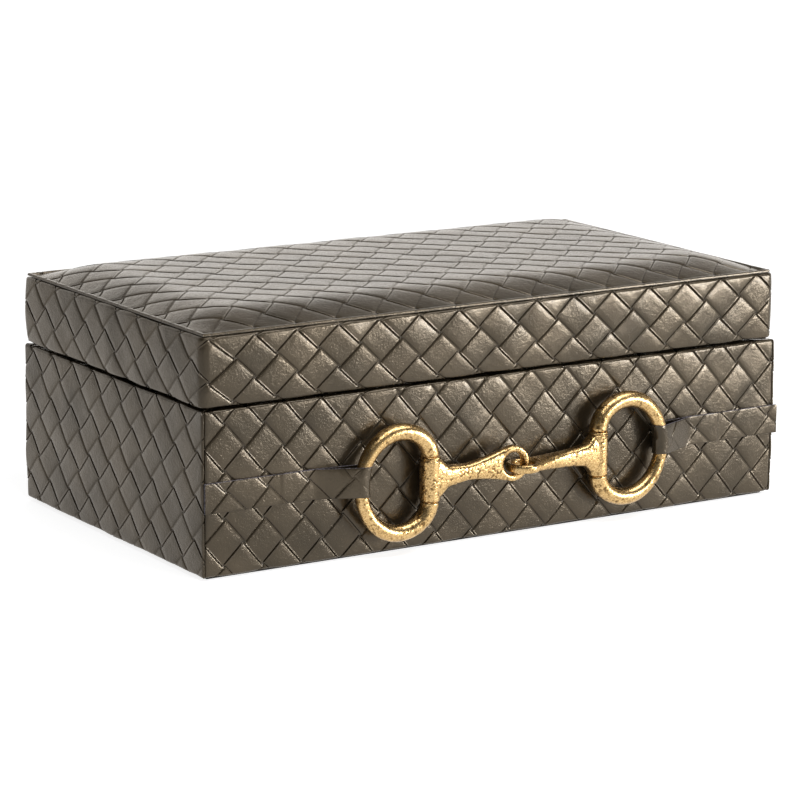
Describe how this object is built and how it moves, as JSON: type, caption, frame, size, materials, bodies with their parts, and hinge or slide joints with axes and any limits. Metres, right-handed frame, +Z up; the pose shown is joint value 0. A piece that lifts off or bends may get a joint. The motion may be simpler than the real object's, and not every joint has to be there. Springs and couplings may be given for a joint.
{
  "type": "keepsake box",
  "caption": "Leather-covered lidded box for papers and keepsakes, padded hinged lid, suede lining, brass horse bit held by straps across the front.",
  "frame": {"origin": "centre of the base's felt underside, on the surface that the box stands on", "axes": "+X along the front to the right, -Y to the front with the bit, +Z up"},
  "size_m": [0.3008, 0.1894, 0.1107],
  "materials": {
    "woven_leather": "faux leather embossed with a diagonal basket weave, bronze taupe with a metallic sheen",
    "suede": "faux suede lining with a short nap",
    "board": "plain fibreboard",
    "foam": "soft padding foam",
    "felt": "dark wool felt",
    "hinge_brass": "satin brass hinge and screws",
    "cast_brass": "rough cast brass, rubbed bright with dark hollows"
  },
  "bodies": {
    "base": {"base_felt": "felt", "base_front_board": "board", "base_rear_board": "board", "base_left_board": "board", "base_right_board": "board", "base_floor_board": "board", "base_front_cover": "woven_leather", "base_rear_cover": "woven_leather", "base_left_cover": "woven_leather", "base_right_cover": "woven_leather", "base_front_lining": "suede", "base_rear_lining": "suede", "base_left_lining": "suede", "base_right_lining": "suede", "base_floor_lining": "suede", "left_hinge_base_leaf": "hinge_brass", "left_hinge_pin": "hinge_brass", "left_hinge_base_screw_1": "hinge_brass", "left_hinge_base_screw_2": "hinge_brass", "right_hinge_base_leaf": "hinge_brass", "right_hinge_pin": "hinge_brass", "right_hinge_base_screw_1": "hinge_brass", "right_hinge_base_screw_2": "hinge_brass", "left_strap": "woven_leather", "right_strap": "woven_leather"},
    "lid": {"lid_front_board": "board", "lid_rear_board": "board", "lid_left_board": "board", "lid_right_board": "board", "lid_top_board": "board", "lid_wall_cover": "woven_leather", "lid_top_cover": "woven_leather", "lid_pad": "foam", "lid_front_lining": "suede", "lid_rear_lining": "suede", "lid_left_lining": "suede", "lid_right_lining": "suede", "lid_top_lining": "suede", "left_hinge_lid_leaf": "hinge_brass", "left_hinge_lid_screw_1": "hinge_brass", "left_hinge_lid_screw_2": "hinge_brass", "right_hinge_lid_leaf": "hinge_brass", "right_hinge_lid_screw_1": "hinge_brass", "right_hinge_lid_screw_2": "hinge_brass"},
    "ring_left": {"left_ring": "cast_brass"},
    "ring_right": {"right_ring": "cast_brass"},
    "arm_left": {"left_arm": "cast_brass"},
    "arm_right": {"right_arm": "cast_brass"}
  },
  "joints": [
    {"name": "lid_hinge", "type": "hinge", "parent": "base", "child": "lid", "pos_m": [0, 0.0852, 0.0733], "axis": [-1, 0, 0], "range_deg": [0, 95]},
    {"name": "left_ring_swing", "type": "hinge", "parent": "base", "child": "ring_left", "pos_m": [-0.07624, -0.0898, 0.0333], "axis": [0, 0, -1], "range_deg": [0, 4]},
    {"name": "right_ring_swing", "type": "hinge", "parent": "base", "child": "ring_right", "pos_m": [0.08024, -0.0898, 0.0333], "axis": [0, 0, 1], "range_deg": [0, 4]},
    {"name": "left_arm_swing", "type": "hinge", "parent": "ring_left", "child": "arm_left", "pos_m": [-0.0422, -0.0898, 0.0333], "axis": [0, 0, -1], "range_deg": [0, 4]},
    {"name": "right_arm_swing", "type": "hinge", "parent": "ring_right", "child": "arm_right", "pos_m": [0.0462, -0.0898, 0.0333], "axis": [0, 0, 1], "range_deg": [0, 4]}
  ],
  "couplings": [
    {"joint": "right_arm_swing", "follows": "left_arm_swing", "ratio": 1},
    {"joint": "left_ring_swing", "follows": "left_arm_swing", "ratio": 1},
    {"joint": "right_ring_swing", "follows": "left_arm_swing", "ratio": 1}
  ]
}
